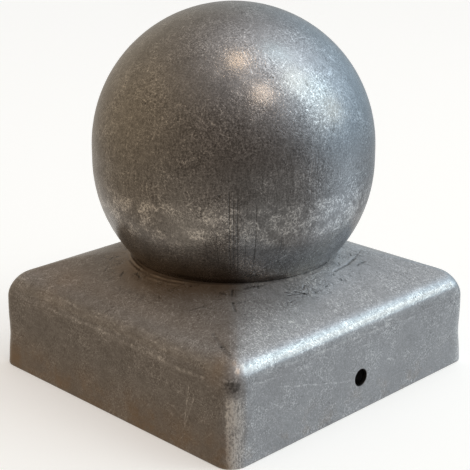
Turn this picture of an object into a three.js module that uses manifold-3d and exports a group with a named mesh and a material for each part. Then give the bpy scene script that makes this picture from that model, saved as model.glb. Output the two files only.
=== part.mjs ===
// Ball post cap: a hollow steel ball on a square pressed cap that slides over the top of a post.
// Two pieces, both of dull galvanised sheet:
//   cap   one pressing: four skirts, two of them leaning out a little, a rounded shoulder, a
//         shallow roof that runs from the square up to a circle, and a flat seat with a hole in
//         its middle; open below
//   ball  one drawn shell with a narrow straight belt at its equator, a flat foot that stands on
//         the seat, and an open neck that goes through the seat and is turned outwards beneath it
// Millimetres, +Z up. The origin is the middle of the skirts' lower rim.
import * as THREE from "three";
import { mergeVertices } from "three/addons/utils/BufferGeometryUtils.js";
import Module from "manifold-3d";

// The post and the cap that covers it.
const postWidth = 70;
const postClearance = 0.5;
const capSheet = 1;
const skirtHeight = 15.5;
const skirtCornerRadius = 3.8;
const shoulderRadius = 6.3;
const roofSlopeDeg = 25.1;
// How far each of the two plain skirts, at +Y and -Y, leans out at its rim.
const skirtFlare = 0.75;
// How late the corners of the roof open out into the circle: 1 is steady, more is later.
const cornerSpread = 1.75;

// The screw holes in the two upright skirts, at +X and -X.
const screwHoleDiameter = 3.6;
const screwHoleHeight = 7.4;

// The ball. The foot angle is where the shell is cut off, from the ball's lowest point.
const ballDiameter = 60;
const ballSheet = 1;
const beltHeight = 2.7;
const footAngleDeg = 46.4;
const footBendRadius = 1.2;

// The neck that holds the ball down, and the air left between the two pieces.
const neckDiameter = 16;
const neckFlangeWidth = 2.5;
const jointGap = 0.3;

// Fineness of the curved faces.
const cornerSteps = 9;
const shoulderSteps = 6;
const roofSteps = 8;
const ballSides = 52;
const hemisphereSteps = 13;
const bendSteps = 3;
const screwHoleSides = 24;

const quarterTurn = Math.PI / 2;
const roofSlope = THREE.MathUtils.degToRad(roofSlopeDeg);
const footAngle = THREE.MathUtils.degToRad(footAngleDeg);

// The cap's outer skin.
const capHalf = postWidth / 2 + postClearance + capSheet;
const shoulderCentre = capHalf - shoulderRadius;
const roofEdgeHalf = shoulderCentre + shoulderRadius * Math.sin(roofSlope);
const roofEdgeHeight = skirtHeight + shoulderRadius * Math.cos(roofSlope);

// The circle where the ball stands on the roof, and the seat inside it.
const ballRadius = ballDiameter / 2;
const footRadius = ballRadius * Math.sin(footAngle);
const seatHeight = roofEdgeHeight + (roofEdgeHalf - footRadius) * Math.tan(roofSlope);
const neckRadius = neckDiameter / 2;
const seatHoleRadius = neckRadius + jointGap;

const zinc = { color: 0x8a8987, roughness: 0.5, metalness: 0.9 };

// The four rounded corners of a square at one height, once round, against the clock from above.
// Below the shoulder the plain skirts move apart, steadily down to the rim.
function squareRing({ half, radius, height }) {
  const flare = skirtFlare * Math.max(0, 1 - height / skirtHeight);
  const ring = [];
  for (let corner = 0; corner < 4; corner += 1) {
    const middle = (corner + 0.5) * quarterTurn;
    const centreX = Math.sign(Math.cos(middle)) * (half - radius);
    const centreY = Math.sign(Math.sin(middle)) * (half + flare - radius);
    for (let step = 0; step <= cornerSteps; step += 1) {
      const angle = (corner + step / cornerSteps) * quarterTurn;
      ring.push([
        centreX + radius * Math.cos(angle),
        centreY + radius * Math.sin(angle),
        height,
      ]);
    }
  }
  return ring;
}

// The corner radius of the outer skin where it has narrowed to the given half width.
function outerCornerRadius(half) {
  const share = Math.max(0, (capHalf - half) / (capHalf - footRadius));
  const radius = skirtCornerRadius + (footRadius - skirtCornerRadius) * share ** cornerSpread;
  return Math.min(radius, half);
}

// One point of the cap's section, moved inwards at right angles to the skin by a depth.
// The lean is the skin's own: 0 on the upright skirt, a quarter turn on the level seat.
function skinRing(half, height, lean, depth) {
  return {
    half: half - depth * Math.cos(lean),
    radius: outerCornerRadius(half) - depth * Math.cos(lean),
    height: height - depth * Math.sin(lean),
  };
}

// The rings of one skin of the cap, from the lower rim up to the hole in the seat.
function skinRings(depth) {
  const rings = [skinRing(capHalf, 0, 0, depth)];
  const roofLean = quarterTurn - roofSlope;
  for (let step = 0; step <= shoulderSteps; step += 1) {
    const lean = (roofLean * step) / shoulderSteps;
    const half = shoulderCentre + shoulderRadius * Math.cos(lean);
    const height = skirtHeight + shoulderRadius * Math.sin(lean);
    rings.push(skinRing(half, height, lean, depth));
  }
  for (let step = 1; step < roofSteps; step += 1) {
    const half = roofEdgeHalf + ((footRadius - roofEdgeHalf) * step) / roofSteps;
    const height = roofEdgeHeight + (roofEdgeHalf - half) * Math.tan(roofSlope);
    rings.push(skinRing(half, height, roofLean, depth));
  }
  const seatEdge = footRadius - depth * Math.tan(roofSlope / 2);
  rings.push({ half: seatEdge, radius: seatEdge, height: seatHeight - depth });
  rings.push({ half: seatHoleRadius, radius: seatHoleRadius, height: seatHeight - depth });
  return rings;
}

// A surface through rings of equal length. The last ring joins the first, so it closes.
function loftRings(rings) {
  const count = rings[0].length;
  const index = [];
  rings.forEach((ring, level) => {
    const next = ((level + 1) % rings.length) * count;
    const here = level * count;
    for (let step = 0; step < count; step += 1) {
      const after = (step + 1) % count;
      index.push(here + step, here + after, next + after);
      index.push(here + step, next + after, next + step);
    }
  });
  const geometry = new THREE.BufferGeometry();
  geometry.setAttribute("position", new THREE.Float32BufferAttribute(rings.flat(2), 3));
  geometry.setIndex(index);
  return geometry;
}

const wasm = await Module();
wasm.setup();

// A closed surface as a solid. Faces that shrink to a line where vertices meet are left out.
function solidOf(geometry) {
  const bare = geometry.clone();
  bare.deleteAttribute("normal");
  bare.deleteAttribute("uv");
  const merged = mergeVertices(bare, 1e-4);
  const corners = merged.index.array;
  const kept = [];
  for (let face = 0; face < corners.length; face += 3) {
    const [a, b, c] = corners.slice(face, face + 3);
    if (a !== b && b !== c && c !== a) kept.push(a, b, c);
  }
  return new wasm.Manifold(
    new wasm.Mesh({
      numProp: 3,
      vertProperties: merged.attributes.position.array,
      triVerts: new Uint32Array(kept),
    }),
  );
}

function geometryOf(solid) {
  const mesh = solid.getMesh();
  const geometry = new THREE.BufferGeometry();
  geometry.setAttribute("position", new THREE.BufferAttribute(mesh.vertProperties, 3));
  geometry.setIndex(new THREE.BufferAttribute(mesh.triVerts, 1));
  geometry.computeVertexNormals();
  return geometry;
}

// A round bar through the skirt on one side of the post, where a screw goes in.
function screwBar(side) {
  const length = 4 * capSheet;
  const radius = screwHoleDiameter / 2;
  const bar = new THREE.CylinderGeometry(radius, radius, length, screwHoleSides);
  bar.rotateZ(quarterTurn);
  bar.translate(side * (capHalf - capSheet / 2), 0, screwHoleHeight);
  return bar;
}

function capGeometry() {
  const outer = skinRings(0).map(squareRing);
  const inner = skinRings(capSheet).map(squareRing);
  let cap = solidOf(loftRings([...outer, ...inner.reverse()]));
  for (const side of [1, -1]) {
    cap = cap.subtract(solidOf(screwBar(side)));
  }
  return geometryOf(cap);
}

// Points on an arc in the ball's section, angles measured up from the level.
function arcPoints(centreRadius, centreHeight, radius, from, to, steps) {
  return Array.from({ length: steps + 1 }, (_, step) => {
    const angle = from + ((to - from) * step) / steps;
    return new THREE.Vector2(
      Math.max(0, centreRadius + radius * Math.cos(angle)),
      centreHeight + radius * Math.sin(angle),
    );
  });
}

// The ball's section on one side of the sheet, from the top down to the level foot.
// The foot's bend touches both the round of the ball and the foot.
function shellPoints(depth, footHeight, lowerCentre) {
  const radius = ballRadius - depth;
  const bend = footBendRadius - depth;
  const bendHeight = footHeight + footBendRadius;
  const reach = ballRadius - footBendRadius;
  const drop = Math.asin((lowerCentre - bendHeight) / reach);
  const bendCentre = reach * Math.cos(drop);
  const upper = arcPoints(0, lowerCentre + beltHeight, radius, quarterTurn, 0, hemisphereSteps);
  const lowerSteps = Math.round((hemisphereSteps * drop) / quarterTurn);
  const lower = arcPoints(0, lowerCentre, radius, 0, -drop, lowerSteps);
  const foot = arcPoints(bendCentre, bendHeight, bend, -drop, -quarterTurn, bendSteps);
  return [...upper, ...lower, ...foot.slice(1)];
}

function ballGeometry() {
  const footHeight = seatHeight + jointGap;
  const lowerCentre = seatHeight + ballRadius * Math.cos(footAngle);
  const flangeTop = seatHeight - capSheet - jointGap;
  const flangeRadius = neckRadius + neckFlangeWidth;
  const boreRadius = neckRadius - ballSheet;
  const outer = shellPoints(0, footHeight, lowerCentre);
  const inner = shellPoints(ballSheet, footHeight, lowerCentre);
  const profile = [
    ...outer,
    new THREE.Vector2(neckRadius, footHeight),
    new THREE.Vector2(neckRadius, flangeTop),
    new THREE.Vector2(flangeRadius, flangeTop),
    new THREE.Vector2(flangeRadius, flangeTop - ballSheet),
    new THREE.Vector2(boreRadius, flangeTop - ballSheet),
    new THREE.Vector2(boreRadius, footHeight + ballSheet),
    ...inner.reverse(),
  ];
  const ball = new THREE.LatheGeometry(profile.reverse(), ballSides);
  ball.rotateX(quarterTurn);
  return ball;
}

function piece(name, geometry) {
  const mesh = new THREE.Mesh(geometry, new THREE.MeshStandardMaterial(zinc));
  mesh.name = name;
  return mesh;
}

const postCap = new THREE.Group();
postCap.name = "ball_post_cap";
postCap.add(piece("cap", capGeometry()));
postCap.add(piece("ball", ballGeometry()));

export default postCap;
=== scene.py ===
"""Finished surfaces, finishes and stage for the galvanised ball post cap, on its measured frame."""

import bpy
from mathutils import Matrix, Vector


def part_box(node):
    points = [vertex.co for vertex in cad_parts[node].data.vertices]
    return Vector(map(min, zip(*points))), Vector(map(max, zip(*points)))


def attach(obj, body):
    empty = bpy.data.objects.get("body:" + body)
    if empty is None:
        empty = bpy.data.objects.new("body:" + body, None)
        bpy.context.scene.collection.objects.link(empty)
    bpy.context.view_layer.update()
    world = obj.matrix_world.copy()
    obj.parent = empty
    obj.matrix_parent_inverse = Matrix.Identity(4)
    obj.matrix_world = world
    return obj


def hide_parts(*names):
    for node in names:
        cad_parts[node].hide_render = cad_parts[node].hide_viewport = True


bl_info = {
    "name": "Ball post cap",
    "version": (1, 0, 0),
    "blender": (4, 5, 0),
    "location": "3D View > Sidebar > Post Cap",
    "description": "Builds the pressed cap and the drawn ball of a galvanised post cap",
    "category": "Object",
}

import math

import bpy
import numpy as np
from mathutils import Matrix, Vector

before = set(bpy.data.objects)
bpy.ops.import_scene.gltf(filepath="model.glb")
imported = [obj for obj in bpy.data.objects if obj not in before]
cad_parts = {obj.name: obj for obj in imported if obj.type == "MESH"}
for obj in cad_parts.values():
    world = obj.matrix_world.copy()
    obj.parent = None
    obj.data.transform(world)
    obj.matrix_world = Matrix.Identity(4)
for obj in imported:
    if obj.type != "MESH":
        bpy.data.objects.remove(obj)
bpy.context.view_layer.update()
CAP_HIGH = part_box("cap")[1]
BALL_LOW, BALL_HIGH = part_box("ball")
BALL_RADIUS = (BALL_HIGH.x - BALL_LOW.x) / 2

MM = 0.001
QUARTER = math.pi / 2
SENSOR_WIDTH = 36.0
LEAST_ROUGHNESS = 0.16

# The grid round a screw hole: cells from its middle to its edge, and to the edge of its field.
HOLE_CELLS = 4
FIELD_CELLS = 11

# Rows of the skirt's grid below and above the field of the screw hole, and steps over the round
# edges of the rim and of the hole.
LOW_ROWS = 4
HIGH_ROWS = 5
RIM_STEPS = 4
MOUTH_STEPS = 3

# Columns: between the field and a corner, in half a corner, round the ball, and round the floor.
SIDE_COLUMNS = 39
CORNER_COLUMNS = 10
BALL_COLUMNS = 410
FLOOR_COLUMNS = 96

# The upright corners are roundest at this height, and this is how far up and down that reaches.
EASE_HEIGHT = 7.5 * MM
EASE_REACH = 3.6 * MM

# The share of the way in to the ball's foot at which the roof's corners have become ridges, and
# the least radius of a corner on the inside.
RIDGE_SHARE = 0.35
LEAST_CORNER = 0.5 * MM

# The foot's bend inside the ball, a screw hole's rounded mouth, and the depth of the last ring of
# points in its bore, as shares of the outer bend, of the rim's round edge and of the sheet.
INNER_BEND = 0.4
MOUTH_SHARE = 0.6
BORE_SHARE = 0.6

# Slow waves in the ball's shell (share, wavelength and seed), in the cap's sheet and along the lip
# (wavelength and seed), and about the largest value that a sum of waves reaches.
BALL_WAVES = ((0.7, 17.0 * MM, 11), (0.3, 7.0 * MM, 12))
CAP_WAVES = (16.0 * MM, 21)
LIP_WAVES = (7.0 * MM, 22)
WAVE_PEAK = 2.5

# The ball keeps its true form this close to its foot and to its top, and its waves come in over
# this height.
FOOT_CALM = 1.0 * MM
FOOT_FADE = 5.0 * MM
TOP_CALM = 0.02 * MM
TOP_FADE = 0.6 * MM

# The cap's waves come in over this distance from the rim, the ball's foot and a screw hole.
RIM_MARGIN = 2.0 * MM
FOOT_MARGIN = 3.0 * MM
HOLE_MARGIN = 6.0 * MM

# Rings pressed round the ball's foot, in millimetres: how far out they lie, and their half width.
LIP_RING = (0.9, 0.24)
SECOND_RING = (1.8, 0.26)

# The lip is low round one turn, and the second ring shows round another: that turn in degrees,
# and how far it reaches to each side.
LIP_LOW = (-5.0, 40.0)
SECOND_ARC = (-96.0, 30.0)

# How much of the lip is missing where it is lowest, the second ring's height as a share of the
# lip's, and how uneven both are.
LIP_LOSS = 0.65
SECOND_SHARE = 0.8
LIP_UNEVEN = 0.4

# Scrapes on the roof: start, end, half width and depth, in millimetres seen from above.
CAP_SCRAPES = (
    ((23.4, 6.3), (22.7, 11.5), 0.24, 0.10),
    ((22.7, 11.5), (21.3, 15.6), 0.24, 0.12),
    ((16.9, -17.1), (18.8, -19.2), 0.22, 0.08),
    ((20.7, -20.7), (23.3, -22.6), 0.22, 0.10),
)

# The zinc's marks, from here to the folds, are in millimetres where no other unit is given.
# Hairlines: how each set is turned in degrees, its spacing and its length.
ZINC_HAIRS = (
    ((20.0, 35.0, 10.0), 0.8, 6.0),
    ((-30.0, 80.0, 55.0), 0.9, 7.0),
    ((50.0, -25.0, 100.0), 0.8, 5.0),
    ((10.0, 15.0, 150.0), 1.0, 8.0),
)

# Fine scratches in the zinc: cell, half width, reach, and the share of cells that have one.
LIGHT_SCRATCHES = (
    (0.8, 0.075, 0.9, 0.6),
    (1.2, 0.075, 1.2, 0.7),
    (2.3, 0.08, 2.0, 0.8),
    (8.0, 0.09, 6.0, 0.4),
)
DARK_SCRATCHES = (
    (4.3, 0.10, 2.0, 0.4),
    (1.1, 0.11, 0.5, 0.5),
)
RUBBED_SCRATCHES = (
    (0.6, 0.08, 0.9, 1.0),
    (1.0, 0.08, 1.3, 1.0),
)

# Heights in millimetres between which wear fades in and out again: start, full, still full, gone.
# The ball's rubbed band is partly a painted reflection of the horizon.
RUBBED_AND_REFLECTED_BAND = (34.5, 38.5, 43.5, 45.8)
SHOULDER_SCUFFS = (14.0, 16.2, 19.6, 22.0)
# The shoulders' polish also carries a painted highlight.
SHOULDER_POLISH_AND_HIGHLIGHT = (17.8, 18.5, 19.6, 20.8)
SHOULDER_MATT = (15.5, 17.0, 22.5, 24.0)

# The same for the wrinkles round the ball's foot, by their distance from the axis, and for the
# rubbed band at a corner, by how much further it lies from one middle plane than from the other.
WRINKLED_RING = (22.2, 23.6, 25.0, 33.0)
CORNER_BAND = (-2.5, -1.6, 0.0, 5.0)

# The ball's dark underside, a painted shade: the heights up to which it is full, and from which it is
# gone. The band high on the ball: its middle, and how far up and down it reaches. The painted shade
# on the ball's front: its middle, and how far from it the shade is full, and gone.
UNDERSIDE = (24.5, 34.0)
HIGH_BAND = (66.0, 9.0)
FRONT_SHADE = ((17.0, -20.0, 54.0), 7.0, 20.0)

# The cap's zones, each from nothing to full or the other way round: the two faces toward the window,
# which are painted lighter than the other two as painted light, by x + y, the painted shade round the
# ball's foot by distance from the axis, the roof by height, and the shoulders and the corners by how
# far out they lie.
LIGHT_FACES = (-4.0, 6.0)
FOOT_SHADE = (22.5, 30.0)
ROOF = (20.0, 24.0)
SHOULDER_SIDES = (31.0, 33.0)
CORNER_SIDES = (33.5, 34.5)

# Draw lines on the ball: turn in degrees, lowest and highest point, width, and how dark.
DRAW_LINES = (
    (-46.4, 35.0, 49.0, 0.17, 0.65),
    (-46.5, 27.0, 40.0, 0.14, 0.40),
    (-44.9, 30.0, 47.5, 0.14, 0.50),
    (-43.4, 35.0, 47.5, 0.16, 0.55),
    (-43.3, 27.0, 40.0, 0.14, 0.40),
    (-36.3, 28.0, 46.0, 0.15, 0.50),
    (-40.2, 29.0, 40.0, 0.13, 0.30),
    (-25.5, 30.0, 41.0, 0.14, 0.45),
    (-51.5, 29.0, 41.0, 0.13, 0.30),
    (-56.0, 30.0, 39.0, 0.13, 0.25),
)

# Pits in the ball's zinc: centre and radius.
BALL_PITS = (
    ((19.3, -23.0, 47.2), 0.42),
    ((2.7, -26.7, 63.2), 0.36),
    ((1.9, -26.6, 63.6), 0.28),
    ((21.1, -10.3, 68.5), 0.34),
    ((28.3, 3.5, 58.5), 0.34),
    ((-18.0, 20.5, 55.0), 0.40),
)

# Dark bruises on the cap: centre, radius and share of dirt.
CAP_BRUISES = (
    ((35.0, -35.4, 16.8), 1.9, 0.75),
    ((-35.0, 34.6, 16.6), 1.6, 0.50),
)

# Brown patches on the cap: centre, how far they reach, and share. The first, on the shoulder beside
# the corner at +x, -y, is a painted warm reflection.
BROWN_STAINS_AND_REFLECTION = (
    ((31.5, -34.8, 18.8), 5.5, 0.35),
    ((-20.0, -32.5, 20.6), 8.0, 0.25),
    ((12.0, -37.0, 2.0), 9.0, 0.18),
    ((-30.0, -37.0, 3.0), 8.0, 0.18),
    ((30.0, 36.5, 4.0), 7.0, 0.25),
    ((-36.5, -12.0, 3.0), 9.0, 0.25),
)

# Light marks on the cap: start, end, half width and how much brighter. The last two, along the lip
# round the ball's foot, are a painted highlight.
LIGHT_MARKS_AND_LIP_HIGHLIGHT = (
    ((26.1, -36.6, 12.0), (23.3, -37.0, 4.5), 0.25, 0.50),
    ((24.6, -36.5, 15.0), (23.6, -36.9, 5.8), 0.22, 0.40),
    ((25.3, -36.7, 9.5), (22.4, -36.9, 7.0), 0.20, 0.35),
    ((18.3, -36.6, 13.0), (19.4, -36.7, 11.2), 0.22, 0.40),
    ((36.5, -25.0, 13.6), (36.5, -3.1, 7.6), 0.20, 0.30),
    ((36.4, 8.6, 8.8), (36.4, 10.6, 8.0), 0.25, 0.35),
    ((36.4, 10.6, 8.0), (36.4, 11.2, 6.6), 0.22, 0.30),
    ((36.3, -15.0, 16.7), (36.4, 9.0, 16.4), 0.40, 0.25),
    ((12.0, -36.6, 13.5), (12.4, -36.6, 13.3), 0.40, 0.55),
    ((19.8, -36.9, 6.8), (20.1, -36.9, 6.6), 0.35, 0.50),
    ((-28.5, -36.2, 17.1), (-4.0, -36.2, 17.2), 0.45, 0.26),
    ((-4.0, -36.2, 17.2), (7.8, -36.3, 16.9), 0.55, 0.35),
    ((7.8, -36.3, 16.9), (17.8, -36.4, 16.4), 0.70, 0.37),
    ((17.8, -36.4, 16.4), (28.2, -36.3, 16.5), 0.55, 0.32),
    ((-26.5, -34.6, 20.0), (-11.0, -34.9, 19.7), 0.45, 0.16),
    ((-5.4, -34.7, 19.8), (-0.4, -34.6, 19.9), 0.40, 0.25),
    ((-0.4, -34.6, 19.9), (10.8, -34.6, 20.0), 0.50, 0.18),
    ((-8.6, -36.5, 13.8), (1.6, -36.4, 16.1), 0.26, 0.20),
    ((18.6, -12.5, 26.2), (21.7, -5.2, 26.2), 0.70, 0.22),
    ((21.7, -5.2, 26.2), (21.9, 5.0, 26.1), 0.80, 0.25),
)

# Dark folds in the roof's sheet, seen from above: start, end, half width and how dark.
CAP_FOLDS = (
    ((23.4, 6.3), (22.7, 11.5), 0.36, 0.65),
    ((22.7, 11.5), (21.3, 15.6), 0.40, 0.80),
    ((21.3, 15.6), (18.8, 21.0), 0.30, 0.40),
    ((23.9, 12.9), (23.3, 16.5), 0.30, 0.50),
    ((24.8, -9.5), (25.9, -4.7), 0.30, 0.40),
    ((16.9, -17.1), (18.8, -19.2), 0.34, 0.75),
    ((17.6, -17.0), (19.3, -18.8), 0.22, 0.45),
    ((20.7, -20.7), (23.3, -22.6), 0.36, 0.75),
    ((18.5, -15.4), (19.2, -13.4), 0.42, 0.70),
    ((19.2, -13.4), (20.0, -11.5), 0.34, 0.55),
    ((24.6, -29.9), (28.7, -31.7), 0.60, 0.42),
    ((28.7, -31.7), (32.4, -33.3), 0.60, 0.62),
    ((15.0, -27.2), (16.5, -25.2), 0.32, 0.40),
    ((16.5, -25.2), (18.3, -24.9), 0.28, 0.30),
)

# Round floor of the stage, in metres: where it stops being flat, and how it bends up.
FLOOR_FLAT = 1.6
FLOOR_BEND = 1.1

# The dark ground inside the cap: its gap to the skirt's outer face, and its height.
GROUND_GAP = 1.2 * MM
GROUND_LIFT = 0.1 * MM

# Where the camera starts to see.
NEAR_CLIP = 5.0 * MM

# The studio's soft light: its even part, and broad glows with azimuth, height angle, sharpness
# and colour.
SOFT_BASE = (0.20, 0.16, 0.13)
SOFT_GLOWS = (
    (57.0, -30.0, 14.0, (0.57, 0.67, 0.75)),
    (-143.0, 16.0, 2.5, (0.23, 0.17, 0.09)),
    (-85.0, -41.0, 13.0, (0.30, 0.27, 0.22)),
    (-15.0, -37.0, 8.0, (0.15, 0.18, 0.19)),
    (143.0, -50.0, 7.0, (0.87, 0.90, 0.90)),
    (154.0, 20.0, 7.0, (0.17, 0.16, 0.13)),
    (106.0, 11.0, 9.0, (0.20, 0.35, 0.47)),
    (57.0, 25.0, 6.0, (0.56, 0.86, 1.11)),
    (50.0, 62.0, 5.0, (1.09, 1.10, 1.14)),
)

# Lamps: name, azimuth, height angle, distance, diameter, power and colour.
LAMPS = (
    ("low_window_left", 50.0, 20.0, 0.8, 0.22, 0.112, (1.0, 0.91, 0.64)),
    ("low_window_right", 35.0, 20.0, 0.8, 0.22, 0.051, (1.0, 1.0, 0.84)),
    ("window_left", 50.0, 34.0, 0.8, 0.22, 0.039, (0.62, 1.0, 0.80)),
    ("window_right", 35.0, 34.0, 0.8, 0.22, 0.152, (0.84, 0.99, 1.0)),
    ("high_window_right", 35.0, 48.0, 0.8, 0.22, 0.214, (0.93, 1.0, 0.87)),
    ("high_window_left", 60.0, 64.0, 0.8, 0.22, 0.129, (0.65, 0.93, 1.0)),
    ("warm_bulb", -24.0, 81.0, 0.8, 0.1, 0.20, (1.0, 0.70, 0.42)),
    ("warm_bulb_low", -11.0, 51.0, 0.8, 0.1, 0.233, (1.0, 0.78, 0.58)),
)


def length_property(name, description, default_mm, lowest_mm=0.0):
    """A length in metres, given here in millimetres."""
    return bpy.props.FloatProperty(
        name=name, description=description, default=default_mm * MM, min=lowest_mm * MM,
        unit="LENGTH", subtype="DISTANCE", precision=5,
    )


def angle_property(name, description, default_degrees):
    """An angle in radians, given here in degrees."""
    return bpy.props.FloatProperty(
        name=name, description=description, default=math.radians(default_degrees),
        unit="ROTATION", subtype="ANGLE",
    )


def number_property(name, description, default, lowest=0.0, **kind):
    """A number, with its unit or subtype where it has one."""
    return bpy.props.FloatProperty(
        name=name, description=description, default=default, min=lowest, **kind
    )


def colour_property(name, description, default):
    """A linear colour."""
    return bpy.props.FloatVectorProperty(
        name=name, description=description, default=default, size=3,
        min=0.0, max=1.0, subtype="COLOR",
    )


class CapSizes(bpy.types.PropertyGroup):
    """Sizes of the pressed cap."""

    sheet: length_property("Sheet", "Thickness of the pressed sheet", 1.0)
    skirt: length_property("Skirt", "Height from the rim to where the shoulder begins", 15.5)
    corner: length_property("Corner radius", "Outer radius of the upright corners", 3.8)
    corner_ease: length_property(
        "Corner ease", "How much rounder the corners are half way up the skirt", 0.8
    )
    shoulder: length_property("Shoulder radius", "Outer radius between skirt and roof", 6.3)
    slope: angle_property("Roof slope", "Slope of the roof's four faces", 25.1)
    spread: number_property(
        "Corner spread", "How late the roof's corners open into the circle", 5.0, lowest=1.0
    )
    ridge: length_property("Ridge radius", "Outer radius of the roof's corners, seen from above", 1.3)
    rim_round: length_property("Rim round", "Radius on the cut edges of the sheet", 0.25)
    screw_hole: length_property("Screw hole", "Diameter of the screw holes", 3.6)
    screw_height: length_property("Screw height", "Height of the screw holes above the rim", 7.4)
    lip: length_property("Lip", "Height of the lip pressed up round the ball's foot", 0.13)
    waviness: length_property("Waviness", "Depth of the slow hollows in the pressed sheet", 0.12)


class BallSizes(bpy.types.PropertyGroup):
    """Sizes of the drawn ball."""

    sheet: length_property("Sheet", "Thickness of the drawn shell", 1.0)
    belt: length_property("Belt", "Height of the straight belt between the two halves", 2.7)
    foot_angle: angle_property("Foot angle", "Where the shell is cut off, from its lowest point", 46.4)
    foot_bend: length_property("Foot bend", "Outer radius between the shell and its level foot", 0.35)
    foot_gap: length_property("Foot gap", "Air between the ball's foot and the cap", 0.08)
    neck: length_property("Neck", "Outer diameter of the neck through the seat", 16.0)
    neck_bend: length_property("Neck bend", "Small radius at both ends of the neck", 0.5)
    flange: length_property("Flange", "Width of the neck's turned out end", 2.5)
    joint_gap: length_property("Joint gap", "Air between the ball and the cap", 0.3)
    waviness: length_property("Waviness", "Depth of the hollows left by drawing the shell", 0.05)


def arc(centre, radius, start, end, steps):
    """Points of a circular arc, as rows of (distance from the axis, height).

    point = centre + radius * (cos angle, sin angle), with the angle going evenly from start to end.
    """
    angle = np.linspace(start, end, steps + 1)
    return np.stack(
        [centre[0] + radius * np.cos(angle), centre[1] + radius * np.sin(angle)], axis=1
    )


def straight(start, end, steps, crowd=1.0):
    """Points of a straight line without its two ends.

    point = start + share * (end - start), where 1 - share goes evenly from 1 to 0 and is then
    raised to crowd, which sets the points closer together towards the end.
    """
    share = 1.0 - np.linspace(1.0, 0.0, steps + 1)[1:-1, None] ** crowd
    return np.asarray(start) + share * (np.asarray(end) - np.asarray(start))


def smooth(value):
    """0 below 0, 1 above 1, and 3 v squared minus 2 v cubed between."""
    v = np.clip(value, 0.0, 1.0)
    return v * v * (3.0 - 2.0 * v)


def bell(value, centre, width):
    """1 at the centre, falling as exp(-((value - centre) / width) squared)."""
    return np.exp(-(((value - centre) / width) ** 2))


def waves(points, wavelength, seed, count=24):
    """Smooth uneven field about 0, mostly between -1 and 1: a sum of waves in many directions.

    field = sum of sin(2 pi direction . point / length + phase) / sqrt(count / 2), where each
    wave's length lies between 0.7 and 1.4 of the given wavelength.
    """
    draw = np.random.default_rng(seed)
    direction = draw.normal(size=(count, 3))
    direction /= np.linalg.norm(direction, axis=1, keepdims=True)
    lengths = wavelength * draw.uniform(0.7, 1.4, count)
    phase = draw.uniform(0.0, 2.0 * math.pi, count)
    turns = points @ (direction * (2.0 * math.pi / lengths[:, None])).T + phase
    return np.sin(turns).sum(axis=-1) / math.sqrt(count / 2.0)


def grid_normals(points, closed_rows):
    """Unit normals of a surface grid: (step along the ring) cross (step along the section).

    The ring direction always closes. The section direction closes only when closed_rows is true.
    """
    ring_step = np.roll(points, -1, axis=1) - np.roll(points, 1, axis=1)
    if closed_rows:
        section_step = np.roll(points, -1, axis=0) - np.roll(points, 1, axis=0)
    else:
        section_step = np.gradient(points, axis=0)
    normal = np.cross(ring_step, section_step)
    return normal / np.maximum(np.linalg.norm(normal, axis=2, keepdims=True), 1e-12)


def grid_quads(row_count, column_count, closed_rows):
    """Quads of a grid whose rings close, numbered row by row, facing (ring) cross (section)."""
    rows = np.arange(row_count if closed_rows else row_count - 1)[:, None]
    columns = np.arange(column_count)[None, :]
    here = rows * column_count + columns
    beside = rows * column_count + (columns + 1) % column_count
    above = ((rows + 1) % row_count) * column_count
    return np.stack(
        [here, beside, above + (columns + 1) % column_count, above + columns], axis=-1
    )


def fan(pole, ring):
    """Triangles from a pole to each step of a closed ring, all given as vertex numbers."""
    return np.stack([np.full(len(ring), pole), ring, np.roll(ring, -1)], axis=1)


def add_mesh_object(name, vertices, quads, triangles=None):
    """A smooth-shaded mesh object from whole arrays of vertices, quads and triangles.

    Vertices that no face uses are left out.
    """
    triangles = np.zeros((0, 3), int) if triangles is None else triangles
    used = np.unique(np.concatenate([quads.ravel(), triangles.ravel()]))
    renumber = np.full(len(vertices), -1)
    renumber[used] = np.arange(len(used))
    loops = np.concatenate([renumber[quads].ravel(), renumber[triangles].ravel()])
    totals = np.concatenate([np.full(len(quads), 4), np.full(len(triangles), 3)])
    starts = np.concatenate([[0], np.cumsum(totals)[:-1]])
    mesh = bpy.data.meshes.new(name)
    mesh.vertices.add(len(used))
    mesh.vertices.foreach_set("co", vertices[used].astype(np.float32).ravel())
    mesh.loops.add(len(loops))
    mesh.loops.foreach_set("vertex_index", loops.astype(np.int32))
    mesh.polygons.add(len(totals))
    mesh.polygons.foreach_set("loop_start", starts.astype(np.int32))
    mesh.polygons.foreach_set("loop_total", totals.astype(np.int32))
    mesh.polygons.foreach_set("use_smooth", np.ones(len(totals), bool))
    mesh.update(calc_edges=True)
    if mesh.validate():
        raise RuntimeError(f"{name} has faces that share vertices wrongly")
    piece = bpy.data.objects.new(name, mesh)
    bpy.context.scene.collection.objects.link(piece)
    return piece


def turned(section, column_count):
    """A surface of turning as a grid: point = (r cos t, r sin t, z) for each (r, z) and turn t."""
    turn = np.linspace(0.0, 2.0 * math.pi, column_count, endpoint=False)
    radius, height = section[:, 0, None], section[:, 1, None]
    x, y = radius * np.cos(turn), radius * np.sin(turn)
    return np.stack([x, y, np.broadcast_to(height, x.shape)], axis=-1)


def add_turned(name, grid, poles):
    """A mesh object from the grid of a surface of turning and the heights of its poles.

    A fan of triangles closes the first ring at the first pole. Where there is a second pole,
    another closes the last ring there.
    """
    row_count, column_count = grid.shape[:2]
    total = row_count * column_count
    ring = np.arange(column_count)
    rings = (ring, (total - column_count + ring)[::-1])
    fans = [fan(total + number, rings[number]) for number in range(len(poles))]
    vertices = np.concatenate([grid.reshape(-1, 3), [(0.0, 0.0, height) for height in poles]])
    quads = grid_quads(row_count, column_count, closed_rows=False).reshape(-1, 4)[:, ::-1]
    return add_mesh_object(name, vertices, quads, np.concatenate(fans))


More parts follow.
